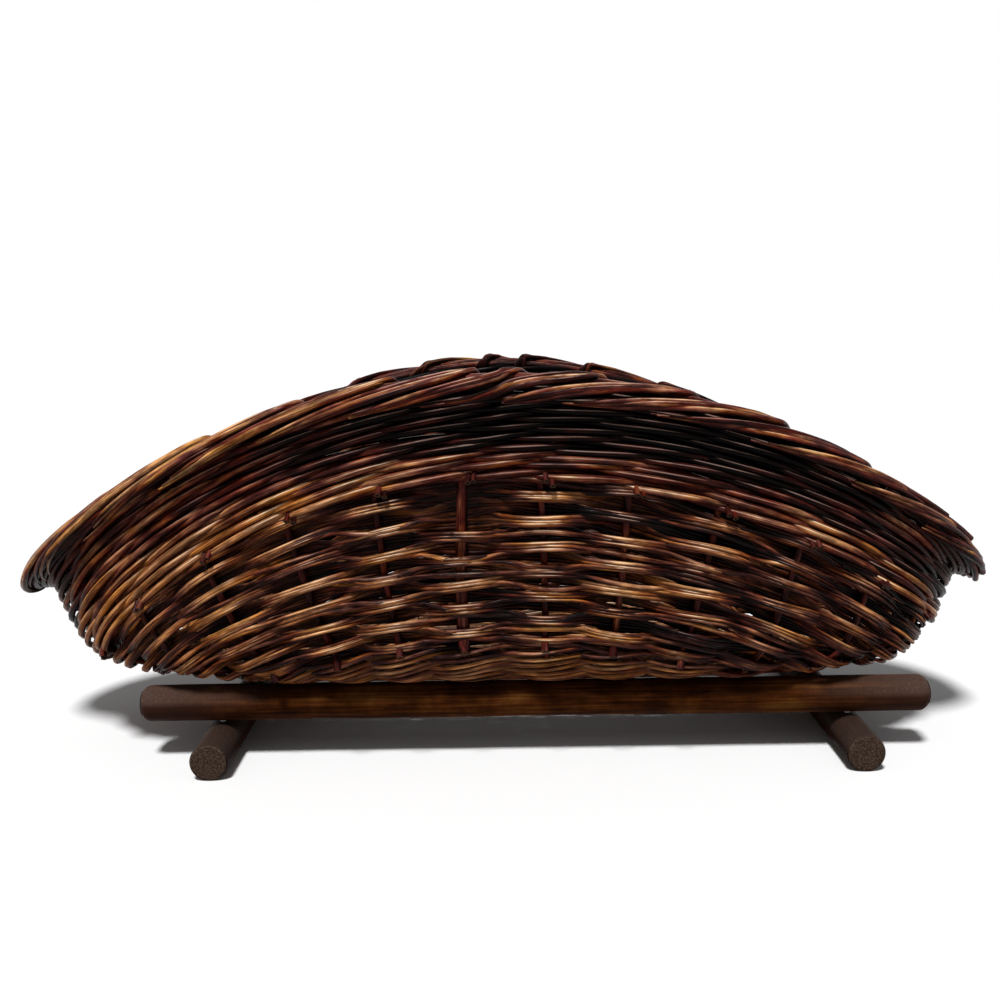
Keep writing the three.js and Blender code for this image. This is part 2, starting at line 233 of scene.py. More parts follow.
# Form of the wall, in millimetres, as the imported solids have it. In the photograph the bottom reaches
# further to the right, the wall swells more there, and the brim's back falls a little sooner, so the rods
# follow that.
basketForm = dict(
    bottomLength=420, bottomWidth=124, bottomSquareness=3.6, bottomHeight=50.0,
    bulgeLength=572, bulgeWidth=212, bulgeSquareness=3.2, bulgeRise=4,
    sideFullness=0.67, endFullness=0.98, fullnessSpread=0.75,
    brimLength=636, brimWidth=226, brimEndHeight=55, brimSideHeight=197, brimSweep=1.6,
    stakeCount=26, spacingRow=0.6, rightSwell=4, swellFull=280, swellLow=0.7, rightReach=0.18, backDrop=6)
stakeCount = basketForm["stakeCount"]
wallPieces = 24  # of each line up the wall, to measure its length


def oval(turn, length, width, squareness, height):
    across, deep = np.cos(turn), np.sin(turn)
    x = np.sign(across) * np.abs(across) ** (2 / squareness) * length / 2
    y = np.sign(deep) * np.abs(deep) ** (2 / squareness) * width / 2
    return np.stack([x, y, np.broadcast_to(height, x.shape)], axis=-1)


def bottomOval(turn, inward):  # the edge of the flat bottom, drawn in all round
    form = basketForm
    edge = oval(
        turn, form["bottomLength"] - inward * 2, form["bottomWidth"] - inward * 2, form["bottomSquareness"],
        form["bottomHeight"])
    edge[:, 0] += form["rightReach"] * np.maximum(edge[:, 0], 0)
    return edge


def bezier(t, a, b, c, d):
    return (1 - t) ** 3 * a + 3 * t * (1 - t) ** 2 * b + 3 * t ** 2 * (1 - t) * c + t ** 3 * d


# A place on the outer face. share climbs from 0 at the bottom's edge to 1 at the brim. Below 0 it is
# metres in from that edge.
def wallAt(turn, share):
    form = basketForm
    climb = np.abs(np.sin(turn)) ** form["brimSweep"]
    low = bottomOval(turn, 0)
    bulge = oval(
        turn, form["bulgeLength"], form["bulgeWidth"], form["bulgeSquareness"],
        form["bottomHeight"] + form["bulgeRise"])
    brimHeight = form["brimEndHeight"] + (form["brimSideHeight"] - form["brimEndHeight"]) * climb
    high = oval(turn, form["brimLength"], form["brimWidth"], 2, form["bottomHeight"] + brimHeight)
    high[:, 2] -= form["backDrop"] * np.clip(np.sin(turn), 0, 1) * np.sin(2 * turn) ** 2
    atEnds = np.abs(np.cos(turn)) ** form["fullnessSpread"]
    full = (form["sideFullness"] + (form["endFullness"] - form["sideFullness"]) * atEnds)[:, None]
    leave = low + full * (bulge - low)
    arrive = high + full * (bulge - high)
    parts = np.linspace(0, 1, wallPieces + 1)[None, :, None]
    line = bezier(parts, low[:, None], leave[:, None], arrive[:, None], high[:, None])
    steps = np.linalg.norm(np.diff(line, axis=1), axis=2)
    lengths = np.concatenate([np.zeros((len(turn), 1)), np.cumsum(steps, axis=1)], axis=1)
    wanted = np.clip(share, 0, 1) * lengths[:, -1]
    after = np.clip((lengths < wanted[:, None]).sum(1), 1, wallPieces)
    row = np.arange(len(turn))
    before, here = lengths[row, after - 1], lengths[row, after]
    part = ((after - 1 + (wanted - before) / (here - before)) / wallPieces)[:, None]
    point = bezier(part, low, leave, arrive, high)
    rightness = np.clip(point[:, 0] / form["swellFull"], 0, 1) ** 2
    swell = rightness * np.sin(math.pi * np.clip(share, 0, 1) ** form["swellLow"])
    point[:, 0] += form["rightSwell"] * swell
    past = (np.maximum(share - 1, 0) * lengths[:, -1])[:, None]
    point = point + past * (high - arrive) / np.linalg.norm(high - arrive, axis=1)[:, None]
    flat = bottomOval(turn, np.maximum(-share, 0) / mm)
    return np.where((share < 0)[:, None], flat, point) * mm


def runAlong(points):  # length of a line from its first point to each
    return np.concatenate([[0], np.cumsum(np.linalg.norm(np.diff(points, axis=0), axis=1))])


spacingTurns = np.linspace(-math.pi / 2, 1.5 * math.pi, 721)
spacingRun = runAlong(wallAt(spacingTurns, np.full(len(spacingTurns), basketForm["spacingRow"])))


def turnAfter(spacings):  # turn after a number of stake spacings from the front's middle
    whole = np.floor(spacings / stakeCount)
    part = np.interp(spacings / stakeCount - whole, spacingRun / spacingRun[-1], spacingTurns)
    return part + whole * 2 * math.pi


def allRound(steps):  # stake spacings once round, in so many steps each
    return np.linspace(0, stakeCount, stakeCount * steps + 1)


def tipness(spacings, power):  # 1 at both tips, 0 at the middle of each side
    return np.abs(np.cos(turnAfter(spacings))) ** power


def backness(spacings):  # 1 along the back, 0 along the front
    return np.clip(2 * np.sin(turnAfter(spacings)), 0, 1)


def unit(vectors):
    return vectors / np.linalg.norm(vectors, axis=1)[:, None]


# Points off the wall: out along its normal, rise up along it, both in metres
def wallPlace(spacings, share, out, rise):
    spacings, share = np.broadcast_arrays(np.asarray(spacings, float), np.asarray(share, float))
    turn = turnAfter(spacings)
    small = 0.004
    point = wallAt(turn, share)
    along = wallAt(turn + small, share) - wallAt(turn - small, share)
    up = unit(wallAt(turn, share + small) - wallAt(turn, share - small))
    outward = unit(np.cross(along, up))
    return point + outward * np.reshape(out, (-1, 1)) + up * np.reshape(rise, (-1, 1)), outward


# Flow of the weave over that wall: rows sag towards the tips, the lower ones more at the right, and the
# lowest pass under the ends of the bottom. The stakes' feet draw in towards the middle of each side. Shares
# below 0 are under the bottom, where 1 stands for 150 mm, and for less towards the tips.
weaveFlow = dict(
    sag=0.23, sagLean=0.05, sagSpread=1.6, rightFall=0.27, bandEdge=0.742, fan=0.85, fanFoot=0.2, under=0.15,
    inmost=0.36)


def flow(spacings, share):
    use = weaveFlow
    spacings, share = np.broadcast_arrays(np.asarray(spacings, float), np.asarray(share, float))
    loose = np.clip((use["bandEdge"] - share) / (use["bandEdge"] - use["fanFoot"]), 0, 1)
    there = spacings - use["fan"] * np.sin(4 * math.pi * spacings / stakeCount) * loose
    side = np.cos(turnAfter(there))
    sag = (use["sag"] - use["sagLean"] * side) * np.abs(side) ** use["sagSpread"]
    sag = sag + use["rightFall"] * loose * np.clip(side, 0, 1) ** use["sagSpread"]
    lowered = share - sag * np.clip((1 - share) / (1 - use["bandEdge"]), 0, 1)
    under = use["under"] * use["inmost"] / (use["inmost"] + sag)  # so that no row crosses the middle line
    return there, np.where(lowered < 0, lowered * under, lowered)


def wovenPlace(spacings, share, out, rise):
    return wallPlace(*flow(spacings, share), out, rise)


def rowShare(use, row):  # how far up the wall a row of a weave lies
    return use["fromShare"] + (row + 0.5) / use["rows"] * (use["toShare"] - use["fromShare"])


def rowRoom(use, spacings, share):  # how far the wall climbs from one row to the next
    half = (use["toShare"] - use["fromShare"]) / use["rows"] / 2
    low = wovenPlace(spacings, share - half, 0, 0)[0]
    high = wovenPlace(spacings, share + half, 0, 0)[0]
    return np.linalg.norm(high - low, axis=1)


crownLength = 1.1  # a little over 1, so that the crown of a stroke is rubbed over its full width


# its upward lean puts the painted highlights on the top of each rod and more painted shade under it, as
# light from above would
def crownAt(outward, sway, up):  # which way the crown of a stroke faces: out or in with the stroke, and up
    level = math.sqrt(crownLength ** 2 - up ** 2)
    return outward * level * np.reshape(sway, (-1, 1)) + np.array([0, 0, up])


def smoothLine(points, perSpan):  # a Catmull-Rom line through the points
    points = np.asarray(points, float)
    padded = np.concatenate([[2 * points[0] - points[1]], points, [2 * points[-1] - points[-2]]])
    made = []
    for i in range(len(points) - 1):
        a, b, c, d = padded[i:i + 4]
        square, cube = 2 * a - 5 * b + 4 * c - d, 3 * b - a - 3 * c + d
        for t in np.arange(perSpan) / perSpan:
            made.append(0.5 * (2 * b + (c - a) * t + square * t ** 2 + cube * t ** 3))
    return np.array(made + [points[-1]])


anyPhase = 6.28  # about a full turn


def wander(rng, spacings, size):  # slow unevenness that closes round the basket
    total = np.zeros_like(spacings)
    for cycles in (2, 3, 5, 9):
        wave = rng.normal(0, 1)
        total += wave * np.sin(2 * math.pi * cycles * spacings / stakeCount + rng.uniform(0, anyPhase))
    return total * size / 2


# Sweep of every rod: a round section along each line, with its shade, grain and crown kept as attributes
def makeRodTree():
    tree = bpy.data.node_groups.new("willowRodSweep", "GeometryNodeTree")
    inputs = (("Rod lines", "Geometry"), ("Sides", "Int"), ("Thickness", "Float"), ("Finish", "Material"))
    for name, kind in inputs:
        tree.interface.new_socket(name, in_out="INPUT", socket_type="NodeSocket" + kind)
    tree.interface.new_socket("Rods", in_out="OUTPUT", socket_type="NodeSocketGeometry")
    given = addNode(tree, "NodeGroupInput")
    lie, thick, run, girth = [
        addNode(tree, "GeometryNodeInputNamedAttribute", values={"Name": name}, data_type=kind)
        for name, kind in
        (("lie", "FLOAT_VECTOR"), ("thick", "FLOAT"), ("run", "FLOAT"), ("girth", "FLOAT"))]
    lines = addNode(tree, "GeometryNodeMeshToCurve", {"Mesh": given.outputs["Rod lines"]})
    tangent = addNode(tree, "GeometryNodeInputTangent")
    lying = addNode(
        tree, "GeometryNodeStoreNamedAttribute", {"Geometry": lines, "Value": tangent}, {"Name": "lie"},
        data_type="FLOAT_VECTOR")
    ring = addNode(tree, "GeometryNodeCurvePrimitiveCircle", {"Resolution": given.outputs["Sides"]})
    ringShare = addNode(tree, "GeometryNodeSplineParameter")
    angle = addNode(tree, "ShaderNodeMath", {0: ringShare}, {1: 2 * math.pi}, operation="MULTIPLY")
    section = addNode(
        tree, "GeometryNodeStoreNamedAttribute", {"Geometry": ring, "Value": angle}, {"Name": "girth"},
        data_type="FLOAT")
    width = addNode(tree, "ShaderNodeMath", {0: thick, 1: given.outputs["Thickness"]}, operation="MULTIPLY")
    swept = addNode(
        tree, "GeometryNodeCurveToMesh", {"Curve": lying, "Profile Curve": section, "Scale": width},
        {"Fill Caps": True})
    # grain space: length along the rod, then two lengths across it
    across = []
    for wave in ("COSINE", "SINE"):
        part = addNode(tree, "ShaderNodeMath", {0: girth}, operation=wave)
        across.append(addNode(tree, "ShaderNodeMath", {0: part, 1: thick}, operation="MULTIPLY"))
    grain = addNode(tree, "ShaderNodeCombineXYZ", {"X": run, "Y": across[0], "Z": across[1]})
    grained = addNode(
        tree, "GeometryNodeStoreNamedAttribute", {"Geometry": swept, "Value": grain}, {"Name": "grain"},
        data_type="FLOAT_VECTOR")
    # cut ends: the caps, which face along the rod
    normal = addNode(tree, "GeometryNodeInputNormal")
    ending = addNode(tree, "ShaderNodeVectorMath", {0: normal, 1: lie}, operation="DOT_PRODUCT")
    ended = addNode(tree, "ShaderNodeMath", {0: ending}, operation="ABSOLUTE")
    capped = addNode(tree, "ShaderNodeMath", {0: ended}, {1: 0.85}, operation="GREATER_THAN")
    cut = addNode(
        tree, "GeometryNodeStoreNamedAttribute", {"Geometry": grained, "Value": capped}, {"Name": "cut"},
        data_type="FLOAT", domain="FACE")
    smooth = addNode(tree, "GeometryNodeSetShadeSmooth", {"Geometry": cut})
    real = addNode(tree, "GeometryNodeRealizeInstances", {"Geometry": smooth})
    dressed = addNode(
        tree, "GeometryNodeSetMaterial", {"Geometry": real, "Material": given.outputs["Finish"]})
    addNode(tree, "NodeGroupOutput", {"Rods": dressed})
    return tree


rodTree = makeRodTree()
grainShift = 1.7  # metres of grain between one rod and the next, so that no two look alike


def addRod(rods, points, crown, thick, tone):
    count = len(points)
    rods.append(dict(
        points=points, run=runAlong(points) + len(rods) * grainShift,
        crown=np.broadcast_to(crown, (count, 3)), thick=np.broadcast_to(thick, count),
        tone=np.broadcast_to(tone, count)))


def addAttribute(mesh, name, values):
    values = np.asarray(values, np.float32)
    kind, field = ("FLOAT_VECTOR", "vector") if values.ndim == 2 else ("FLOAT", "value")
    mesh.attributes.new(name, kind, "POINT").data.foreach_set(field, values.ravel())


def sweepRods(name, rods, sides, finish):
    mesh = bpy.data.meshes.new(name)
    points = np.concatenate([rod["points"] for rod in rods])
    starts = np.cumsum([0] + [len(rod["points"]) for rod in rods])
    edges = [(i, i + 1) for a, b in zip(starts[:-1], starts[1:]) for i in range(a, b - 1)]
    mesh.from_pydata(points.tolist(), edges, [])
    for key in ("thick", "tone", "run", "crown"):
        addAttribute(mesh, key, np.concatenate([rod[key] for rod in rods]))
    piece = addObject(name, mesh)
    modifier = piece.modifiers.new("sweep", "NODES")
    modifier.node_group = rodTree
    socket = {item.name: item.identifier for item in rodTree.interface.items_tree if item.in_out == "INPUT"}
    modifier[socket["Sides"]] = sides
    modifier[socket["Thickness"]] = 1.0
    modifier[socket["Finish"]] = finish
    graph = bpy.context.evaluated_depsgraph_get()
    baked = bpy.data.meshes.new_from_object(
        piece.evaluated_get(graph), preserve_all_data_layers=True, depsgraph=graph)
    piece.modifiers.clear()
    piece.data = baked
    print(name, len(rods), "rods", len(baked.polygons), "faces")
    return piece


def dress(piece, body, slot, *nodes):
    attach(piece, body)
    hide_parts(*nodes)


stakeInset = 8.0 * mm  # the stakes' middle behind the wall's outer face


def ragged(spacings):  # the weave is less even towards the right end
    return 1 + 0.9 * np.clip(np.cos(turnAfter(spacings)), 0, 1)


# Lower weave: rows of six thin rods, in front of one stake and behind the next. At the back the rods are
# thicker and calmer, so that little daylight shows through from the front.
lowerWeave = dict(
    rows=14, fromShare=0.2, toShare=0.748, rod=1.15 * mm, swing=5.0 * mm, frontGap=0.8 * mm, pinch=1.0 * mm,
    backGap=2.3 * mm, plainRoom=7.4 * mm, roomLimits=(0.5, 1.35), thickest=1.07, drop=1.0 * mm,
    slant=1.1 * mm, slantSpread=(0.4, 0.7), stray=0.14, strayWidth=0.55, strayOut=0.85, steps=7,
    uneven=1.0 * mm, strokeRise=0.35 * mm, rodRise=0.24 * mm, rodOut=0.25 * mm, loosen=0.55, bareStake=25.5,
    bareWidth=0.45, bareIn=0.9, bareFrom=10, plain=0.98, frontBroad=0.12, backBroad=0.62, backClose=0.3,
    backCalm=0.7, rightThin=0.16, tone=(0.48, 0.12), strokeTone=0.16, leftTone=0.12, paintedFrontLight=0.2,
    topTone=0.12, crownUp=0.62, crownLow=0.62, seed=11)
# the six rods of a row: places across it, and millimetres forward in a stroke
lowerStrands = [(-2.5, -0.5), (-1.5, 0.6), (-0.5, -0.6), (0.5, 0.5), (1.5, -0.3), (2.5, 0.2)]


def makeLowerWeave():
    use, rng, rods = lowerWeave, np.random.default_rng(lowerWeave["seed"]), []
    half = stakeCount / 2
    spacings = half + allRound(use["steps"])  # the joins are at the back
    marks = np.arange(stakeCount + 1)
    loose, atBack = ragged(spacings), backness(spacings)
    calm = 1 - use["backCalm"] * atBack
    closer = (1 + use["backClose"] * atBack) * (1 - use["rightThin"] * (loose - 1))
    shared = wander(rng, spacings, use["uneven"]) * loose  # each row is beaten down on the one below

    def perStroke(middle, size):  # a value of its own for each stroke
        values = rng.normal(middle, size, stakeCount + 1)
        values[-1] = values[0]
        return np.interp(spacings % stakeCount, marks, values)

    for row in range(use["rows"]):
        height = (row + 0.5) / use["rows"]
        share = rowShare(use, row)
        room = np.clip(rowRoom(use, spacings, share) / use["plainRoom"], *use["roomLimits"])
        phase = math.pi * (spacings - 0.5 + row)
        sway = np.cos(phase) * (1.25 - 0.25 * np.cos(phase) ** 2)
        if row >= use["bareFrom"]:  # the top rows all pass behind one broad stake
            bare = np.exp(-((spacings - use["bareStake"]) / use["bareWidth"]) ** 4)
            sway = sway * (1 - bare) - use["bareIn"] * bare
        front, back = np.clip(sway, 0, 1), np.clip(-sway, 0, 1)
        rise = shared * math.sin(math.pi * height) + perStroke(0, use["strokeRise"]) * loose * calm
        rise = rise + use["slant"] * perStroke(*use["slantSpread"]) * np.sin(phase) * calm
        rise = rise - use["drop"] * sway * np.sin(turnAfter(spacings))  # the strokes behind sit lower
        gap = use["pinch"] + (use["frontGap"] - use["pinch"]) * front ** 2
        gap = (gap + (use["backGap"] - use["pinch"]) * back ** 2) * room * (1 + use["loosen"] * (loose - 1))
        broad = (use["plain"] + use["frontBroad"] * front ** 2 + use["backBroad"] * back) * closer
        broad = broad * np.minimum(np.sqrt(room), use["thickest"])
        stroke = perStroke(0, use["strokeTone"])
        behind = [s + 0.5 for s in range(stakeCount) if (s + row) % 2]
        if row >= use["bareFrom"]:
            behind = [s for s in behind if s != use["bareStake"]]
        for place, forward in lowerStrands:
            # now and then one rod misses a stake and lies in front of it
            missed = [s for s in behind if rng.random() < use["stray"]]
            past = [((spacings - s + half) % stakeCount - half) / use["strayWidth"] for s in missed]
            stray = sum(np.exp(-away ** 4) for away in past)
            own = sway * (1 - stray) + use["strayOut"] * stray
            apart = place * gap + wander(rng, spacings, use["rodRise"]) * loose ** 2
            out = -stakeInset + own * use["swing"] + forward * mm * (1 - back)
            out = out + wander(rng, spacings, use["rodOut"])
            points, outward = wovenPlace(spacings, share, out, rise + apart)
            thick = use["rod"] * rng.uniform(0.88, 1.12) * broad
            # paler on the left, partly the rods' own tone and partly painted light from the left; paler
            # where a stroke passes in front, as painted light on its crown; darker in the top rows
            tone = rng.normal(*use["tone"]) + stroke + 0.02 * place + use["paintedFrontLight"] * front ** 2
            tone = tone + use["leftTone"] * np.clip(-points[:, 0] / 0.15, -0.3, 1)
            tone = tone - use["topTone"] * np.clip((height - 0.72) / 0.2, 0, 1)
            standing = use["crownLow"] + (1 - use["crownLow"]) * np.clip(own, 0, 1)
            crown = crownAt(outward, own, use["crownUp"]) * standing[:, None]
            addRod(rods, points, crown, thick, np.clip(tone, 0, 1))
    return sweepRods("lower_weave_rods", rods, 6, lowerWillow)


dress(makeLowerWeave(), "basket", "stained_willow", "lower_weave")

# Upper weave: close rows of three-rod wale, each rod in front of two stakes and behind the third. Its lowest
# rows are paler; its top rows are near black, partly dark dye and partly painted shadow under the border.
upperWeave = dict(
    rows=10, strands=3, fromShare=0.742, toShare=1.02, rod=2.3 * mm, swing=5.6 * mm, shift=1.2 * mm,
    slant=1.9 * mm, steps=7, startSpread=4, uneven=0.6 * mm, rodRise=0.25 * mm, fill=0.42, tipFill=0.08,
    leftTone=0.52, rightTone=0.85, crownUp=0.5, seed=23)
upperTones = [(0, 0.68), (2, 0.6), (4, 0.28), (9, 0.1)]  # a row, and its tone: the low tones of the top rows are partly painted shadow under the border


def makeUpperWeave():
    use, rng, rods = upperWeave, np.random.default_rng(upperWeave["seed"]), []
    spacings = allRound(use["steps"])
    for row in range(use["rows"]):
        share = rowShare(use, row)
        uneven = wander(rng, spacings, use["uneven"])
        start = rng.uniform(-use["startSpread"], use["startSpread"])
        around = spacings + (stakeCount / 2 + start)  # a row starts somewhere at the back
        offset = rng.uniform(-0.3, 0.3)
        rowTone = rng.normal(np.interp(row, *np.transpose(upperTones)), 0.05)
        for strand in range(use["strands"]):
            phase = 2 * math.pi * (around - 1 - strand + offset) / use["strands"]
            sway = np.cos(phase)
            out = -stakeInset + use["shift"] + sway * use["swing"]
            rise = uneven + use["slant"] * np.sin(phase) + wander(rng, around, use["rodRise"])
            points, outward = wovenPlace(around, share, out, rise)
            room = rowRoom(use, around, share) * (use["fill"] + use["tipFill"] * tipness(around, 4))
            thick = np.minimum(use["rod"] * (1 + wander(rng, spacings, 0.04)), room)
            thick = thick * rng.uniform(0.94, 1.06)
            tone = rowTone + rng.normal(0, 0.04) + wander(rng, spacings, 0.08)
            tone = tone + use["leftTone"] * np.clip(-points[:, 0] / 0.22, 0, 1)
            # towards the right tip the darker rows are made paler: painted light on the tip's underside
            tipPaintedLight = use["rightTone"] * max(0.5 - rowTone, 0.1)
            tone = tone + tipPaintedLight * np.clip((points[:, 0] - 0.1) / 0.16, 0, 1)
            crown = crownAt(outward, np.clip(sway + 0.4, -1, 1), use["crownUp"])
            addRod(rods, points, crown, thick, np.clip(tone, 0, 1))
    return sweepRods("upper_weave_rods", rods, 8, upperWillow)


dress(makeUpperWeave(), "basket", "stained_willow", "upper_weave")

# Base: rows of fine pairing from the middle of the flat bottom up the turn of the wall, a plain rod under
# its edge, and sticks that open out from the middle
baseWeave = dict(
    flatRows=10, wallRows=8, fromShare=-0.36, toShare=0.2, rod=1.4 * mm, stick=2.4 * mm, inset=4.5 * mm,
    bend=0.8, slant=2.7 * mm, steps=6, uneven=0.6 * mm, backClose=0.5, closeFrom=0.08, edgeRod=1.9 * mm,
    edgeShare=-0.002, edgeInset=2.1 * mm, edgeUneven=0.1 * mm, stickShares=(-0.33, 0.21, 22),
    tone=(0.78, 0.16), crownUp=0.6, seed=5)


def makeBaseWeave():
    use, rng, rods = baseWeave, np.random.default_rng(baseWeave["seed"]), []
    spacings = stakeCount / 2 + allRound(use["steps"])
    flat = [(row + 0.5) / use["flatRows"] * use["fromShare"] for row in range(use["flatRows"])]
    wall = [(row + 0.5) / use["wallRows"] * use["toShare"] for row in range(use["wallRows"])]
    for share in flat + wall:
        uneven = wander(rng, spacings, use["uneven"])
        for strand in range(2):
            phase = math.pi * (spacings - 0.5 + strand)
            sway = np.cos(phase)
            out = -use["inset"] + sway * (use["stick"] + use["rod"]) * use["bend"]
            rise = uneven + use["slant"] * np.sin(phase) * rng.uniform(0.7, 1.3)
            points, outward = wovenPlace(spacings, share, out, rise)
            # thicker on the wall at the back, but not over the rail
            onWall = np.clip(flow(spacings, share)[1] / use["closeFrom"], 0, 1)
            closer = 1 + use["backClose"] * backness(spacings) * onWall
            thick = use["rod"] * rng.uniform(0.9, 1.1) * closer
            # the base rods are paler than the lower weave: painted light on the downward-facing turn of the
            # wall
            tone = np.clip(rng.normal(*use["tone"]) + wander(rng, spacings, 0.1), 0, 1)
            addRod(rods, points, crownAt(outward, sway, use["crownUp"]), thick, tone)
    out = -use["edgeInset"] + wander(rng, spacings, use["edgeUneven"])
    points, outward = wallPlace(spacings, use["edgeShare"], out, 0)
    addRod(rods, points, outward * 0.5, use["edgeRod"], 0.6)
    shares = np.linspace(*use["stickShares"])
    for stake in range(stakeCount):
        points, outward = wovenPlace(np.full(len(shares), stake + 0.5), shares, -use["inset"], 0)
        thick = use["stick"] * rng.uniform(0.9, 1.1)
        addRod(rods, points, outward * 0.5, thick, rng.uniform(0.2, 0.6))
    return sweepRods("base_mat_rods", rods, 7, lowerWillow)


dress(makeBaseWeave(), "basket", "stained_willow", "base_mat")

# Base sticks: split cross sticks, with long sticks through the splits
baseSticks = dict(
    half=2.4 * mm, closed=1.68 * mm, parted=3.3 * mm, split=32 * mm, crooked=0.3 * mm, wave=0.5 * mm,
    waveLength=50 * mm, crossPoints=25, longPoints=41, seed=9)
crossSticks = [f"base_cross_stick_{n}" for n in range(1, 6)]
longSticks = [f"base_long_stick_{n}" for n in range(1, 4)]


def makeBaseSticks():
    use, rng, rods = baseSticks, np.random.default_rng(baseSticks["seed"]), []
    crown = (0, 0, 0.8)
    for node in crossSticks:
        low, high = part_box(node)
        y = np.linspace(low.y, high.y, use["crossPoints"])
        opened = np.clip((use["split"] * 1.35 - np.abs(y)) / (use["split"] * 0.35), 0, 1)
        for side in (-1, 1):
            z = (low.z + high.z) / 2 + side * (use["closed"] + (use["parted"] - use["closed"]) * opened)
            x = np.full(len(y), (low.x + high.x) / 2) + rng.normal(0, use["crooked"])
            addRod(rods, np.stack([x, y, z], axis=1), crown, use["half"], rng.uniform(0.35, 0.65))
    for number, node in enumerate(longSticks, 1):
        low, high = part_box(node)
        x = np.linspace(low.x, high.x, use["longPoints"])
        y = (low.y + high.y) / 2 + use["wave"] * np.sin(x / use["waveLength"] + number)
        z = np.full(len(x), (low.z + high.z) / 2)
        addRod(rods, np.stack([x, y, z], axis=1), crown, (high.y - low.y) / 2, rng.uniform(0.4, 0.7))
    return sweepRods("base_sticks", rods, 10, lowerWillow)


dress(makeBaseSticks(), "basket", "stained_willow", *crossSticks, *longSticks)

# Stakes: they climb inside the weave, and with two side rods each are rolled over the brim to the left as
# the border. More rods fill the border where it stands out at both tips.
border = dict(
    members=3, rod=1.85 * mm, stake=2.3 * mm, stakeFoot=2.6 * mm, bareBroad=2.0, side=0.07, stagger=0.27,
    footShare=0.2, sideShare=0.735, topShare=0.985, poke=(1.6 * mm, -3.5 * mm), footClear=8, wallPoints=13,
    passes=2.5, laidPoints=14, perSpan=3, taper=15, taperTo=0.35, tipReach=0.9, tipLift=7 * mm, tipRods=7,
    tipRod=2.2 * mm, tipSpan=1.9, tipPoints=33, tipOut=(6, 15), tipRise=(1, 2.5), endSpan=1.2, endPoints=9,
    endFrom=(3, 6), coreRod=2.4 * mm, coreSteps=6, waveOut=0.45 * mm, waveRise=0.4 * mm, tone=(0.41, 0.13),
    leftTone=0.38, rightTone=0.14, bareTone=0.42, seed=31)
# core rods that the border is rolled over: millimetres out of the wall and above the brim
borderCores = [(-6.0, 5.0), (-2.5, 7.4)]
# blunt rod ends that stand out at the right tip: stake spacing, then millimetres out and above
borderEnds = [(5.3, 9, 12), (5.7, 12, 13), (5.95, 15, 9), (6.15, 18, 6), (6.3, 16, 3)]
# where a border rod lies after it has passed so many stakes: millimetres out and above
borderRoll = [
    (-0.3, -10.6, 0.0), (0.0, -10.8, 3.0), (0.04, -11.0, 7.5), (0.09, -8.6, 10.6), (0.15, -4.6, 11.4),
    (0.27, 0.0, 10.8), (0.55, 3.2, 9.2), (1.0, 6.6, 6.0), (1.5, 9.2, 1.4), (1.9, 9.0, -2.6),
    (2.2, 6.0, -5.6), (2.6, 0.4, -7.6)]


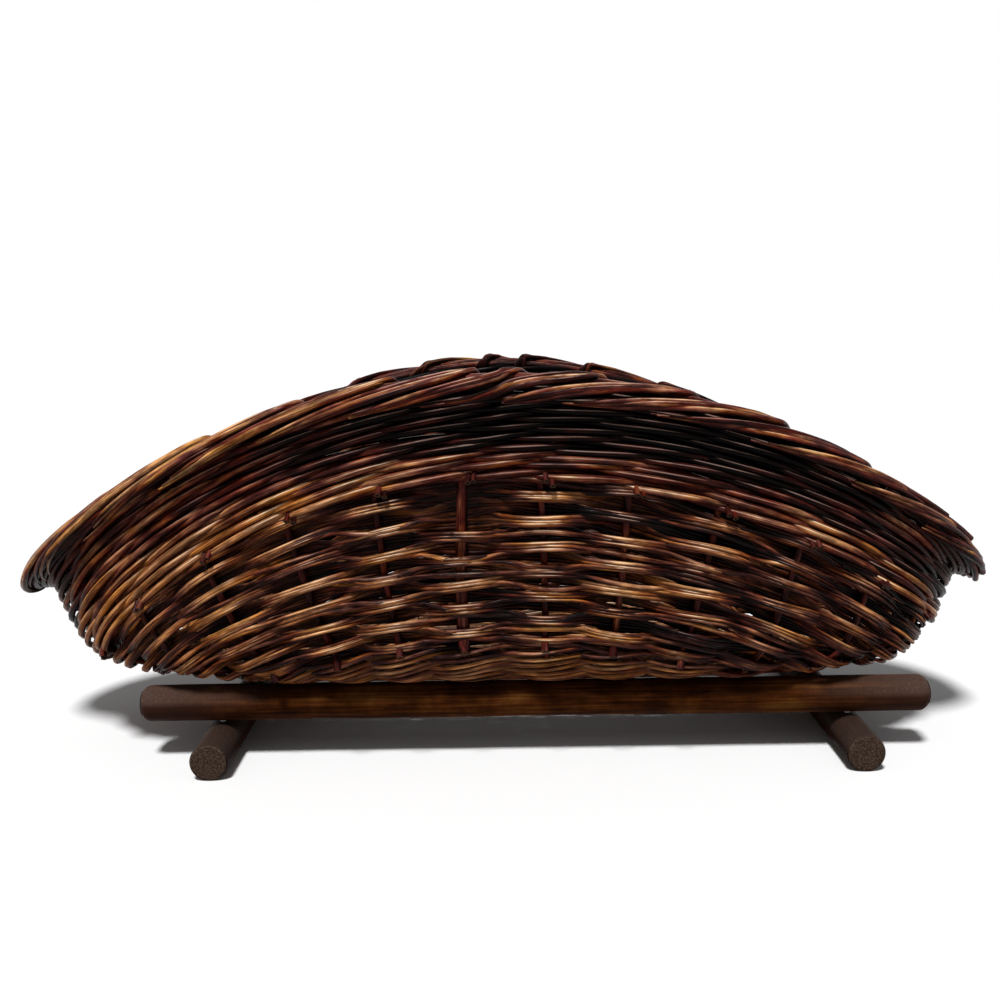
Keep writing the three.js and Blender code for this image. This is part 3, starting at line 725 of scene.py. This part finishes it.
def makeBorder():
    use, rng, rods = border, np.random.default_rng(border["seed"]), []
    rollAt, rollOut, rollRise = np.array(borderRoll).T
    split = use["wallPoints"] * use["perSpan"]  # points of a stake's line before it turns over the brim
    clearHeight = (basketForm["bottomHeight"] + use["footClear"]) * mm
    over = np.array([0, 0, 0.9])
    for stake in range(stakeCount):
        isBare = stake + 0.5 == lowerWeave["bareStake"]
        for member in range(use["members"]):
            at = stake + 0.5 + member * use["side"]
            foot = (use["sideShare"] if member else use["footShare"]) + rng.uniform(-0.01, 0.01)
            climb = np.linspace(foot + 0.04, use["topShare"], use["wallPoints"] - 2)
            climb = np.concatenate([[foot, foot + 0.02], climb])
            out = np.full(use["wallPoints"], -stakeInset)
            if wovenPlace(np.full(1, at), foot, 0, 0)[0][0, 2] > clearHeight:
                out[:2] = use["poke"]  # the foot pokes out of the weave
            wall, wallOut = wovenPlace(np.full(use["wallPoints"], at), climb, out, 0)
            laid = np.linspace(0.5, use["passes"] + rng.uniform(-0.12, 0.12), use["laidPoints"])
            passed = np.concatenate([[0.0, 0.04, 0.09, 0.15, 0.27], laid])
            ahead = ((use["members"] - 1) / 2 - member) * use["stagger"]
            rolled = passed + ahead * np.clip(passed / 0.5, 0, 1)
            there = at - passed
            waved = use["waveOut"] * np.sin(passed * rng.uniform(1.5, 2.5) + rng.uniform(0, anyPhase))
            out = np.interp(rolled, rollAt, rollOut) * mm
            out = np.where(out > 0, out * (1 + use["tipReach"] * tipness(there, 6)), out) + waved
            tipped = tipness(there, 8)
            rise = np.interp(rolled, rollAt, rollRise) * mm
            rise = np.where(rise < 0, rise * (1 - 0.5 * tipped), rise)
            rise = rise + use["tipLift"] * tipped * np.clip(passed, 0, 1)
            rise = rise + use["waveRise"] * np.sin(passed * 2 + rng.uniform(0, anyPhase))
            rim, rimOut = wallPlace(there, 1.0, out, rise)
            line = smoothLine(np.concatenate([wall, rim]), use["perSpan"])
            crowns = np.concatenate([wallOut * 0.6, unit(rimOut * 0.65 + over) * crownLength])
            crown = smoothLine(crowns, use["perSpan"])
            thick = np.full(len(line), use["rod"] * rng.uniform(0.88, 1.1))
            # paler towards both ends, and more so on the left
            tone = rng.normal(*use["tone"]) + use["leftTone"] * np.clip(-line[:, 0] / 0.18, 0, 1)
            tone = tone + use["rightTone"] * np.clip(line[:, 0] / 0.16, 0, 1)
            if member == 0:
                broad = use["stake"] * (use["bareBroad"] if isBare else 1.0)
                climbing = [use["stakeFoot"], broad, use["rod"] * 1.15]
                thick[:split] = np.interp(np.arange(split), [0, use["perSpan"], split], climbing)
            climbTone = use["bareTone"] if isBare else rng.uniform(0.32, 0.58)
            tone = climbTone + (tone - climbTone) * np.clip((np.arange(len(line)) - split) / 12, 0, 1)
            thick[-use["taper"]:] *= np.linspace(1, use["taperTo"], use["taper"])
            addRod(rods, line, crown, thick, np.clip(tone, 0, 1))
    for out, rise in borderCores:
        points = wallPlace(allRound(use["coreSteps"]), 1.0, out * mm, rise * mm)[0]
        addRod(rods, points, (0, 0, 1.0), use["coreRod"], 0.4)
    inner, outer = use["tipOut"]
    lower, upper = use["tipRise"]
    for tip in (stakeCount * 0.25, stakeCount * 0.75):
        around = np.linspace(tip - use["tipSpan"], tip + use["tipSpan"], use["tipPoints"])
        spread = tipness(around, 6)
        for layer in range(use["tipRods"]):
            share = (layer + 0.5) / use["tipRods"]
            out = -inner * mm + (inner + outer * share) * mm * spread + 0.5 * mm * np.sin(around * 3 + layer)
            rise = (lower + upper * (layer % 2)) * mm + use["tipLift"] * spread * share
            points = wallPlace(around, 1.0, out, rise)[0]
            thick = use["tipRod"] * rng.uniform(0.9, 1.1)
            addRod(rods, points, (0, 0, 0.7), thick, rng.uniform(0.3, 0.6))
    outFrom, riseFrom = use["endFrom"]
    part = np.linspace(0, 1, use["endPoints"])
    for place, out, rise in borderEnds:  # each comes out of the border over a little more than one stake
        outs, rises = outFrom + (out - outFrom) * part, riseFrom + (rise - riseFrom) * part
        points, outward = wallPlace(place - use["endSpan"] * (1 - part), 1.0, outs * mm, rises * mm)
        addRod(rods, points, unit(outward + over) * crownLength, use["tipRod"], rng.uniform(0.3, 0.5))
    return sweepRods("stakes_and_border", rods, 8, borderWillow)


dress(makeBorder(), "basket", "stained_willow", *[f"stake_{n:02d}" for n in range(1, stakeCount + 1)])
print("basket woven")


# Cradle logs
def logFinish(name, look):
    # Branches stripped of bark, stained walnut brown and oiled: faint fibres along them, darker blotches,
    # a painted sheen with painted glints on top near the ends, and sawn ends with rings and open pores.
    finish, tree = newFinish(name)
    place = addNode(tree, "ShaderNodeTexCoord").outputs["Object"]
    section, cut, nearEnd = [
        addNode(tree, "ShaderNodeAttribute", attribute_name=key).outputs[output] for key, output in
        (("section", "Vector"), ("cut", "Fac"), ("nearEnd", "Fac"))]
    # fibres 2.5 mm apart and 70 mm long, blotches of 30 mm
    stretched = addNode(
        tree, "ShaderNodeMapping", {"Vector": section},
        {"Scale": (1 / (2.5 * mm), 1 / (2.5 * mm), 1 / (70 * mm))})
    fibre = addNode(
        tree, "ShaderNodeTexNoise", {"Vector": stretched}, {"Scale": 1.0, "Detail": 4.0, "Roughness": 0.6})
    blotch = addNode(
        tree, "ShaderNodeTexNoise", {"Vector": place},
        {"Scale": 1 / (30 * mm), "Detail": 4.0, "Roughness": 0.6})
    both = addNode(tree, "ShaderNodeMath", {0: fibre, 1: blotch}, operation="ADD")
    half = addNode(tree, "ShaderNodeMath", {0: both}, {1: 0.5}, operation="MULTIPLY")
    stain = setStops(addNode(tree, "ShaderNodeValToRGB", {"Fac": half}), look["stain"])
    # painted glints 1.2 mm across over a painted sheen, on the upper half near the ends
    speck = addNode(tree, "ShaderNodeTexNoise", {"Vector": place}, {"Scale": 1 / (1.2 * mm), "Detail": 3.0})
    glintSheen = addNode(
        tree, "ShaderNodeMapRange", {"Value": speck},
        {"From Min": 0.5, "From Max": 0.66, "To Min": look["sheenAndGlints"] * 0.55, "To Max": look["sheenAndGlints"]})
    heights = addNode(tree, "ShaderNodeSeparateXYZ", {"Vector": section})
    band = addNode(
        tree, "ShaderNodeMapRange", {"Value": heights.outputs["Y"]},
        {"From Min": 0.5 * mm, "From Max": 4 * mm})
    banded = addNode(tree, "ShaderNodeMath", {0: band, 1: nearEnd}, operation="MULTIPLY")
    glintSheenOnTop = addNode(tree, "ShaderNodeMath", {0: glintSheen, 1: banded}, operation="MULTIPLY")
    # the stain is greyer at the ends
    dulled = addNode(
        tree, "ShaderNodeMix", {"Factor": nearEnd, "A": stain}, {"B": paint(look["endStain"])},
        data_type="RGBA")
    glinted = addNode(
        tree, "ShaderNodeMix", {"Factor": glintSheenOnTop, "A": dulled}, {"B": paint("#8a766a")}, data_type="RGBA")
    # rings 1.8 mm apart on the sawn ends
    across = addNode(tree, "ShaderNodeVectorMath", {0: section}, {1: (1, 1, 0)}, operation="MULTIPLY")
    reach = addNode(tree, "ShaderNodeVectorMath", {0: across}, operation="LENGTH")
    turns = addNode(
        tree, "ShaderNodeMath", {0: reach}, {1: 2 * math.pi / (1.8 * mm)}, operation="MULTIPLY")
    ring = addNode(tree, "ShaderNodeMath", {0: turns}, operation="SINE")
    ringed = addNode(tree, "ShaderNodeMath", {0: ring, 2: speck}, {1: 0.03}, operation="MULTIPLY_ADD")
    sawn = setStops(
        addNode(tree, "ShaderNodeValToRGB", {"Fac": ringed}),
        [(0.36, "#33261d"), (0.5, "#44352b"), (0.66, "#574840")])
    colour = addNode(tree, "ShaderNodeMix", {"Factor": cut, "A": glinted, "B": sawn}, data_type="RGBA")
    gloss = addNode(
        tree, "ShaderNodeMapRange", {"Value": blotch},
        {"From Min": 0.3, "From Max": 0.7, "To Min": 0.45, "To Max": 0.7})
    bump = addNode(tree, "ShaderNodeBump", {"Height": half}, {"Strength": 0.4, "Distance": 0.6 * mm})
    shader = addNode(
        tree, "ShaderNodeBsdfPrincipled", {"Base Color": colour, "Roughness": gloss, "Normal": bump},
        {"IOR": 1.45, "Specular IOR Level": 0.02})
    addNode(tree, "ShaderNodeOutputMaterial", {"Surface": shader})
    return finish


logForm = dict(
    sides=40, rings=110, endRings=6, capShares=(0.0, 0.35, 0.7), uneven=0.7 * mm, unevenLength=50 * mm,
    inset=0.2 * mm, capDepth=0.4 * mm, endReach=90 * mm)


def makeLog(node, axis, endRound, finish):
    name = node + "_log"
    low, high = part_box(node)
    middle = (low + high) / 2
    radius = (high[1 - axis] - low[1 - axis]) / 2
    half = (high[axis] - low[axis]) / 2
    use = logForm
    # rings from one end to the other: place along the log, and share of its radius
    ending = [(-half, share) for share in use["capShares"]]
    for a in np.linspace(0, math.pi / 2, use["endRings"])[::-1]:
        ending.append((-half + endRound * (1 - math.sin(a)), 1 - endRound / radius * (1 - math.cos(a))))
    straight = np.linspace(-half + endRound, half - endRound, use["rings"])[1:-1]
    stations = ending + [(x, 1.0) for x in straight] + [(-x, share) for x, share in ending[::-1]]
    verts, sections, cut, nearEnd = [], [], [], []
    for along, share in stations:
        for k in range(use["sides"]):
            angle = 2 * math.pi * k / use["sides"]
            seed = Vector((
                along / use["unevenLength"], math.cos(angle) * 0.8 + len(name),
                math.sin(angle) * 0.8 + middle.x * 9))
            swell = min(0, noise.noise(seed) * use["uneven"]) if share > 0.5 else 0
            reach = (radius + swell - use["inset"]) * share
            across, height = reach * math.cos(angle), reach * math.sin(angle)
            # the feet lie flat on the floor
            point = [middle.x, middle.y, max(high.z - radius + height, 0.0)]
            point[axis] = middle[axis] + along
            point[1 - axis] += across
            verts.append(point)
            sections.append((across, height, along))
            cut.append(1.0 if abs(along) > half - use["capDepth"] else 0.0)
            nearEnd.append(np.clip(1 - (half - abs(along)) / use["endReach"], 0, 1))
    n = use["sides"]
    faces = []
    for start in range(0, (len(stations) - 1) * n, n):
        for k in range(n):
            after = (k + 1) % n
            faces.append((start + k, start + after, start + n + after, start + n + k))
    if axis == 1:  # this way round, the faces would point in
        faces = [face[::-1] for face in faces]
    mesh = bpy.data.meshes.new(name)
    mesh.from_pydata(verts, [], faces)
    for key, values in (("section", sections), ("cut", cut), ("nearEnd", nearEnd)):
        addAttribute(mesh, key, values)
    piece = addObject(name, mesh)
    mesh.materials.append(finish)
    mesh.shade_smooth()
    return piece


railLook = dict(
    stain=[(0.36, "#120602"), (0.47, "#331706"), (0.55, "#4c270e"), (0.66, "#65401b")], endStain="#36211a",
    sheenAndGlints=0.3)
# the feet get a darker copy of the rails' finish
footLook = dict(
    stain=[(0.36, "#0c0402"), (0.47, "#200d06"), (0.55, "#36190c"), (0.66, "#4a2b18")], endStain="#1e110c",
    sheenAndGlints=0.2)
railWood = logFinish("walnutStainedBranch", railLook)
footWood = logFinish("darkerBranch", footLook)
for node in ("front_rail", "rear_rail"):
    dress(makeLog(node, 0, 6 * mm, railWood), "cradle", "stained_log", node)
for node in ("left_foot", "right_foot"):
    dress(makeLog(node, 1, 2 * mm, footWood), "cradle", "stained_log", node)

# Screws: zinc plated steel, a little dulled, with fine brushed scratches 0.6 mm apart
screwSteel, steelTree = newFinish("zincPlatedSteel")
steelPlace = addNode(steelTree, "ShaderNodeTexCoord")
scratch = addNode(
    steelTree, "ShaderNodeTexNoise", {"Vector": steelPlace.outputs["Object"]},
    {"Scale": 1 / (0.6 * mm), "Detail": 3.0})
steelShade = setStops(
    addNode(steelTree, "ShaderNodeValToRGB", {"Fac": scratch}), [(0.35, "#7c7a76"), (0.65, "#a3a19c")])
steelGloss = addNode(steelTree, "ShaderNodeMapRange", {"Value": scratch}, {"To Min": 0.28, "To Max": 0.5})
steelShader = addNode(
    steelTree, "ShaderNodeBsdfPrincipled", {"Base Color": steelShade, "Roughness": steelGloss},
    {"Metallic": 1.0})
addNode(steelTree, "ShaderNodeOutputMaterial", {"Surface": steelShader})
for node in ("front_left_screw", "front_right_screw", "rear_left_screw", "rear_right_screw"):
    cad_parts[node].data.materials.clear()
    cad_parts[node].data.materials.append(screwSteel)
print("cradle made")

# Floor and light: white paper, one soft lamp from the upper left, and a white surround
stageLight = dict(
    lamp=3.1, lampSize=10, lampTilt=26, lampTurn=-16, surround=0.19, paper="#fdfdfd", paperGlow="#b0b0b0",
    floorHalf=30)


def seenDirectly(tree):  # 1 for what the camera sees, also in gloss and through glass
    path = addNode(tree, "ShaderNodeLightPath")
    seen = addNode(
        tree, "ShaderNodeMath", {0: path.outputs["Is Camera Ray"], 1: path.outputs["Is Glossy Ray"]},
        operation="MAXIMUM")
    return addNode(
        tree, "ShaderNodeMath", {0: seen, 1: path.outputs["Is Transmission Ray"]}, operation="MAXIMUM")


half = stageLight["floorHalf"]
floorMesh = bpy.data.meshes.new("floor")
floorMesh.from_pydata(
    [(-half, -half, 0), (half, -half, 0), (half, half, 0), (-half, half, 0)], [], [(0, 1, 2, 3)])
floor = addObject("floor", floorMesh)
# matt paper, which throws less light up at the object than the camera sees
paper, paperTree = newFinish("whitePaper")
paperTone = addNode(
    paperTree, "ShaderNodeMix", {"Factor": seenDirectly(paperTree)},
    {"A": paint(stageLight["paperGlow"]), "B": paint(stageLight["paper"])}, data_type="RGBA")
paperShader = addNode(
    paperTree, "ShaderNodeBsdfPrincipled", {"Base Color": paperTone},
    {"Roughness": 0.9, "Specular IOR Level": 0.0})
addNode(paperTree, "ShaderNodeOutputMaterial", {"Surface": paperShader})
floorMesh.materials.append(paper)

lamp = addObject("soft lamp", bpy.data.lights.new("soft lamp", "SUN"))
lamp.data.energy = stageLight["lamp"]
lamp.data.angle = math.radians(stageLight["lampSize"])
lamp.rotation_euler = (math.radians(stageLight["lampTilt"]), 0, math.radians(stageLight["lampTurn"]))

world = bpy.data.worlds.new("studio")
bpy.context.scene.world = world
world.use_nodes = True
sky = world.node_tree
sky.nodes.clear()
level = addNode(
    sky, "ShaderNodeMapRange", {"Value": seenDirectly(sky)}, {"To Min": stageLight["surround"]})
air = addNode(sky, "ShaderNodeBackground", {"Strength": level}, {"Color": (1, 1, 1, 1)})
addNode(sky, "ShaderNodeOutputWorld", {"Surface": air})
print("stage lit")
